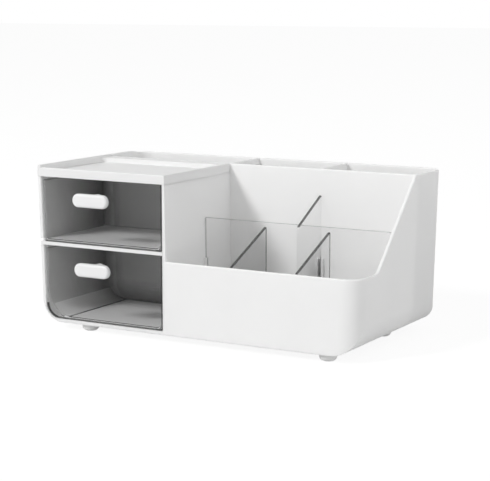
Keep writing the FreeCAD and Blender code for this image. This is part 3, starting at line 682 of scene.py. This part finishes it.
clear_face = clear_plastic("clear_face", (0.35, 0.35, 0.35), alpha=0.035, rough=0.06)
# Painted shade on the plates' cut edges: a dark one and a faint one.
clear_edge_shade = clear_plastic("clear_edge_shade", (0.02, 0.02, 0.02), alpha=0.90, rough=0.2, scratches=0.1, dust=0.0,
                           let_by=0.9)
faint_edge_shade = clear_plastic("faint_edge_shade", (0.05, 0.05, 0.05), alpha=0.35, rough=0.2, scratches=0.1, dust=0.0,
                           let_by=0.9)


def long_face(centre, normal, middle, low, high):
    """The long plate: a faint painted line along the top and up the left end, painted shade low down at
    that end.
    """
    if middle:
        return 0
    if centre.x < low.x + dark_edge and normal.y < -facing_from:
        return 1 if centre.z < dark_below else 2
    return 2 if centre.z > high.z - top_line else 0


def cross_face(centre, normal, middle, low, high, fall, dark_up_to):
    """A cross plate: painted dark along its slant, and up its far end as high as dark_up_to."""
    if middle:
        return 0
    along = (centre.y - low.y) / (high.y - low.y)
    if centre.z > high.z - fall * (1.0 - along) - slant_line:
        return 1 if centre.x > high.x - dark_edge else 0
    if centre.y > high.y - upright_line and normal.x > facing_from:
        return 1 if centre.z < dark_up_to else 0
    return 0


plates = {
    "long_divider": (1, -1, long_face, ()),
    "front_left_divider": (0, 1, cross_face, (front_fall, math.inf)),
    "front_right_divider": (0, 1, cross_face, (front_fall, math.inf)),
    "rear_divider": (0, 1, cross_face, (rear_fall, dark_below)),
}
for node, (axis, side, face_kind, more) in plates.items():
    low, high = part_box(node)

    def plate_face(centre, normal, middle, low=low, high=high, face_kind=face_kind, more=more):
        """The material of one face of this plate."""
        return face_kind(centre, normal, middle, low, high, *more)

    cuts = [(2, dark_below)] + [(0, high.x - dark_edge)] * (axis == 0)
    banded_copy(node, node + "_plate", [clear_face, clear_edge_shade, faint_edge_shade],
                [(axis, side, near_band), (axis, side, far_band)], plate_face, cuts)

# %% [markdown]
# ### Drawer trays
#
# Each drawer behind its front plate is one thin smoked moulding. Its walls
# darken towards the rear left corner with painted shade. Its floor faces up to
# the light and looks palest: painted light, a paler copy of the wall plastic,
# which the lit lower part of the lower drawer's cove gets too. Where two walls
# meet there is a painted dark line of shade, and the lower drawer has one more
# where its cove meets the floor.

# %% Drawer trays
cove_round = 0.023
cove_end = 0.0265
cove_top = 0.012
tray_skin = 0.0012
floor_thick = 0.0020
rim_deep = 0.004
upright_near = 0.0035
rear_near = 0.0045
front_near = 0.001
floor_near = 0.0005
line_under = 0.0006
line_over = 0.0003
level_from = 0.99
upward_from = 0.6
far_below = 1.0
crease_bands = [(0, 1, 0.0009), (1, -1, 0.0007), (2, 1, 0.0005)]

# Painted light: a pale copy of the smoked plastic for the floor, which faces up to the lamps.
smoked_floor_lit = clear_plastic("smoked_floor_lit", (0.95, 0.95, 0.95), alpha=0.76, rough=0.3, let_by=0.6)

for node, creased in (("upper_drawer_tray", False), ("lower_drawer_tray", True)):
    low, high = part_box(node)
    floor_top = low.z + floor_thick
    # With the corner far below, a drawer without a cove darkens by how near its side is alone.
    corner_z = low.z + tray_skin - (0.0 if creased else far_below)
    corner = (low.x + tray_skin, high.y - tray_skin, corner_z)
    # The walls get the painted corner shade.
    wall = clear_plastic(node + "_wall", (0.56, 0.56, 0.56), alpha=0.27, rough=0.2, let_by=0.6,
                         corner=corner, corner_round=cove_round)
    # Painted light: the lit lower part of the cove, in the pale copy.
    cove = clear_plastic(node + "_cove", (0.95, 0.95, 0.95), alpha=0.60, rough=0.3, let_by=0.6,
                         corner=corner, corner_round=cove_round)

    def tray_face(centre, normal, middle, low=low, high=high, floor_top=floor_top, creased=creased):
        """Floor and the lit part of the cove in painted light; rim, the floor's front end, the crease and
        the rear upright corner as painted dark lines; or plain wall.
        """
        if normal.z > level_from and centre.z < floor_top + floor_near:
            at_crease = creased and not middle and centre.x < low.x + cove_end
            return 2 if at_crease else 1
        if creased and normal.z > upward_from and centre.z < low.z + cove_top:
            return 3
        if normal.z > upward_from and centre.z > high.z - rim_deep:
            return 2
        at_front = normal.y < -facing_from and centre.y < low.y + front_near
        if at_front and not middle and floor_top - line_under < centre.z < floor_top + line_over:
            return 2
        if at_front and centre.z < floor_top:
            return 1
        short_x = max(low.x + cove_round - centre.x, 0.0)
        short_z = max(low.z + cove_round - centre.z, 0.0) if creased else 0.0
        beside = cove_round - math.hypot(short_x, short_z) < upright_near
        upright = normal.x > facing_from or normal.y < -facing_from
        if beside and centre.y > high.y - rear_near and upright and not middle:
            return 2
        return 0

    banded_copy(node, node + "_shell", [wall, smoked_floor_lit, smoked_edge_shade, cove], crease_bands, tray_face)

# %% [markdown]
# ## Feet and screws
#
# The feet and the screws are small turned pieces that repeat. Each could be
# modelled by hand at each place. A tree of Geometry Nodes makes one from its
# sizes and sets it at each point, so a size is changed once. Both trees start
# from a plain tube, and move its rings along the outline of the turned piece.

# %% Helpers: Geometry Nodes trees
def new_geometry_tree(name, inputs):
    """A tree that takes points, named sizes and a material, with its input and output nodes."""
    tree = bpy.data.node_groups.new(name, "GeometryNodeTree")
    tree.interface.new_socket("Places", in_out="INPUT", socket_type="NodeSocketGeometry")
    for label, value in inputs:
        socket = tree.interface.new_socket(label, in_out="INPUT", socket_type="NodeSocketFloat")
        socket.default_value = value
    tree.interface.new_socket("Material", in_out="INPUT", socket_type="NodeSocketMaterial")
    tree.interface.new_socket("Geometry", in_out="OUTPUT", socket_type="NodeSocketGeometry")
    return tree, tree.nodes.new("NodeGroupInput"), tree.nodes.new("NodeGroupOutput")


def add_node(tree, kind, *values, **named):
    """A node of that kind, with its first inputs in order and others by name."""
    node = tree.nodes.new(kind)
    for socket, value in zip(node.inputs, values):
        feed(tree, socket, value)
    for label, value in named.items():
        feed(tree, node.inputs[label.replace("_", " ")], value)
    return node


def set_at_places(tree, given, gives, shape, turn=(0.0, 0.0, 0.0)):
    """Ends a tree: the shape at each point, as real faces, with the material."""
    placed = add_node(tree, "GeometryNodeInstanceOnPoints", Points=given.outputs["Places"], Instance=shape,
                      Rotation=turn)
    real = add_node(tree, "GeometryNodeRealizeInstances", placed.outputs[0])
    dressed = add_node(tree, "GeometryNodeSetMaterial", Geometry=real.outputs[0],
                       Material=given.outputs["Material"])
    tree.links.new(dressed.outputs[0], gives.inputs["Geometry"])


def turned_tube(tree, sides, rings, shape_of):
    """A closed tube whose radius and height follow shape_of, from 0 at its foot to 1 at its top."""
    tube = add_node(tree, "GeometryNodeMeshCylinder", Vertices=sides, Side_Segments=rings, Radius=1.0,
                    Depth=1.0)
    where = tree.nodes.new("GeometryNodeInputPosition")
    part = add_node(tree, "ShaderNodeSeparateXYZ", where.outputs[0])
    wide, tall = shape_of(maths(tree, "ADD", part.outputs["Z"], 0.5))
    place = add_node(tree, "ShaderNodeCombineXYZ", maths(tree, "MULTIPLY", part.outputs["X"], wide),
                     maths(tree, "MULTIPLY", part.outputs["Y"], wide), tall)
    moved = add_node(tree, "GeometryNodeSetPosition", Geometry=tube.outputs["Mesh"],
                     Position=place.outputs[0])
    return moved.outputs[0]


def quarter(tree, share, radius):
    """How far a quarter round of that radius has gone across and up, at a share of its angle."""
    angle = maths(tree, "MULTIPLY", share, math.pi / 2)
    across = maths(tree, "MULTIPLY", maths(tree, "SINE", angle), radius)
    up = maths(tree, "MULTIPLY", maths(tree, "SUBTRACT", 1.0, maths(tree, "COSINE", angle)), radius)
    return across, up


def shares(tree, along, split):
    """How much of the part below the split, and of the part above it, lies below a place."""
    below = maths(tree, "MINIMUM", maths(tree, "DIVIDE", along, split), 1.0)
    past = maths(tree, "MAXIMUM", maths(tree, "SUBTRACT", along, split), 0.0)
    return below, maths(tree, "DIVIDE", past, 1.0 - split)


def grown(name, tree, places, sizes, material):
    """A plain mesh object, made by the tree from points and sizes."""
    mesh = bpy.data.meshes.new(name)
    mesh.from_pydata(places, [], [])
    piece = bpy.data.objects.new(name, mesh)
    bpy.context.scene.collection.objects.link(piece)
    modifier = piece.modifiers.new("grow", "NODES")
    modifier.node_group = tree
    sockets = {item.name: item.identifier for item in tree.interface.items_tree if item.in_out == "INPUT"}
    for label, value in dict(sizes, Material=material).items():
        modifier[sockets[label]] = value
    evaluated = piece.evaluated_get(bpy.context.evaluated_depsgraph_get())
    piece.data = bpy.data.meshes.new_from_object(evaluated)
    piece.modifiers.clear()
    return piece


# %% [markdown]
# ### Domed feet
#
# Four feet of soft rubber hold the organizer off the desk and keep it from
# sliding. Each has a small flat, a quarter round and a short upright. Bevelled
# cylinders would do, but the tree keeps the round a size of its own.

# %% Tree: a domed foot
foot_round_share = 0.75
foot_sides = 64
foot_rings = 16

foot_tree, given, gives = new_geometry_tree(
    "domed_foot", [("Radius", 0.007), ("Height", 0.006), ("Round", 0.004)])


def foot_shape(along):
    """A flat, then a quarter round, then an upright."""
    below, above = shares(foot_tree, along, foot_round_share)
    across, up = quarter(foot_tree, below, given.outputs["Round"])
    flat = maths(foot_tree, "SUBTRACT", given.outputs["Radius"], given.outputs["Round"])
    upright = maths(foot_tree, "SUBTRACT", given.outputs["Height"], given.outputs["Round"])
    return maths(foot_tree, "ADD", flat, across), maths(foot_tree, "MULTIPLY_ADD", above, upright, up)


foot = turned_tube(foot_tree, foot_sides, foot_rings, foot_shape)
set_at_places(foot_tree, given, gives, foot)
print("tree: %s, %d nodes" % (foot_tree.name, len(foot_tree.nodes)))

# %% Feet
foot_round = 0.0044
foot_rubber = solid_plastic("foot_rubber", (0.86, 0.86, 0.855), rough=0.5, mottle=0.03)

feet = sorted(name for name in nodes if "foot" in name)
boxes = [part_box(name) for name in feet]
low, high = boxes[0]
foot_sizes = {"Radius": (high.x - low.x) / 2, "Height": high.z - low.z, "Round": foot_round}
places = [((low.x + high.x) / 2, (low.y + high.y) / 2, low.z) for low, high in boxes]
rubber_feet = grown("rubber_feet", foot_tree, places, foot_sizes, foot_rubber)
finish_piece(rubber_feet, node_body[feet[0]], feet)
print("feet: %d, %.1f mm across" % (len(places), 2000 * foot_sizes["Radius"]))

# %% [markdown]
# ### Pan head screws
#
# A screw from inside the drawer holds each pull. Its head has a short upright, a
# rounded top and a cross for the driver, and its shank runs into the pull's
# stem. The cross could be painted on, but it would look flat from close by, so
# two bars are cut out of the head. A thread wouldn't show, and the shank is
# plain.

# %% Tree: a pan head screw
head_split = 0.5
head_sides = 48
head_rings = 12

screw_tree, given, gives = new_geometry_tree(
    "pan_head_screw",
    [("Head Radius", 0.0035), ("Head Height", 0.0022), ("Edge", 0.0008), ("Shank Radius", 0.00175),
     ("Shank Length", 0.0112), ("Cross Length", 0.0042), ("Cross Width", 0.001), ("Cross Depth", 0.001)])


def head_shape(along):
    """An upright, then a quarter round that draws in to the flat top."""
    below, above = shares(screw_tree, along, head_split)
    up, drawn_in = quarter(screw_tree, above, given.outputs["Edge"])
    wide = maths(screw_tree, "SUBTRACT", given.outputs["Head Radius"], drawn_in)
    upright = maths(screw_tree, "SUBTRACT", given.outputs["Head Height"], given.outputs["Edge"])
    return wide, maths(screw_tree, "MULTIPLY_ADD", below, upright, up)


head = turned_tube(screw_tree, head_sides, head_rings, head_shape)

# %% Cross, shank and whole screw
shank_sides = 32
shank_sink = 0.0005

cutters = []
cutter_deep = maths(screw_tree, "MULTIPLY", given.outputs["Cross Depth"], 2.0)
head_top = add_node(screw_tree, "ShaderNodeCombineXYZ", 0.0, 0.0, given.outputs["Head Height"])
for across, along in (("Cross Length", "Cross Width"), ("Cross Width", "Cross Length")):
    size = add_node(screw_tree, "ShaderNodeCombineXYZ", given.outputs[across], given.outputs[along],
                    cutter_deep)
    bar = add_node(screw_tree, "GeometryNodeMeshCube", size.outputs[0])
    moved = add_node(screw_tree, "GeometryNodeTransform", Geometry=bar.outputs["Mesh"],
                     Translation=head_top.outputs[0])
    cutters.append(moved.outputs[0])

shank = add_node(screw_tree, "GeometryNodeMeshCylinder", Vertices=shank_sides,
                 Radius=given.outputs["Shank Radius"], Depth=given.outputs["Shank Length"])
half_down = maths(screw_tree, "MULTIPLY", given.outputs["Shank Length"], -0.5)
shank_middle = maths(screw_tree, "ADD", half_down, shank_sink)
down = add_node(screw_tree, "ShaderNodeCombineXYZ", 0.0, 0.0, shank_middle)
hung = add_node(screw_tree, "GeometryNodeTransform", Geometry=shank.outputs["Mesh"],
                Translation=down.outputs[0])

whole = screw_tree.nodes.new("GeometryNodeMeshBoolean")
whole.operation = "UNION"
for shape in (head, hung.outputs[0]):
    screw_tree.links.new(shape, whole.inputs["Mesh 2"])
crossed = screw_tree.nodes.new("GeometryNodeMeshBoolean")
crossed.operation = "DIFFERENCE"
screw_tree.links.new(whole.outputs["Mesh"], crossed.inputs["Mesh 1"])
for shape in cutters:
    screw_tree.links.new(shape, crossed.inputs["Mesh 2"])
set_at_places(screw_tree, given, gives, crossed.outputs["Mesh"], (-math.pi / 2, 0.0, 0.0))
print("tree: %s, %d nodes" % (screw_tree.name, len(screw_tree.nodes)))

# %% Screws
head_tall = 0.0022
screw_zinc = solid_plastic("screw_zinc", (0.62, 0.62, 0.64), rough=0.3, mottle=0.05, grain_size=0.0003,
                           grain_deep=0.000004)

for node in sorted(name for name in nodes if "screw" in name):
    low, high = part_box(node)
    sizes = {"Head Radius": (high.x - low.x) / 2, "Head Height": head_tall,
             "Shank Length": high.y - low.y - head_tall + shank_sink}
    place = ((low.x + high.x) / 2, high.y - head_tall, (low.z + high.z) / 2)
    screw = grown(node + "_turned", screw_tree, [place], sizes, screw_zinc)
    finish_piece(screw, node_body[node], [node])

# %% [markdown]
# ## Size
#
# The dressed organizer should be exactly as large as the solids. Its box is printed.

# %% Size
new_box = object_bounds()
size = [1000 * (far - near) for near, far in zip(*new_box)]
print("size: %.1f x %.1f x %.1f mm" % tuple(size))
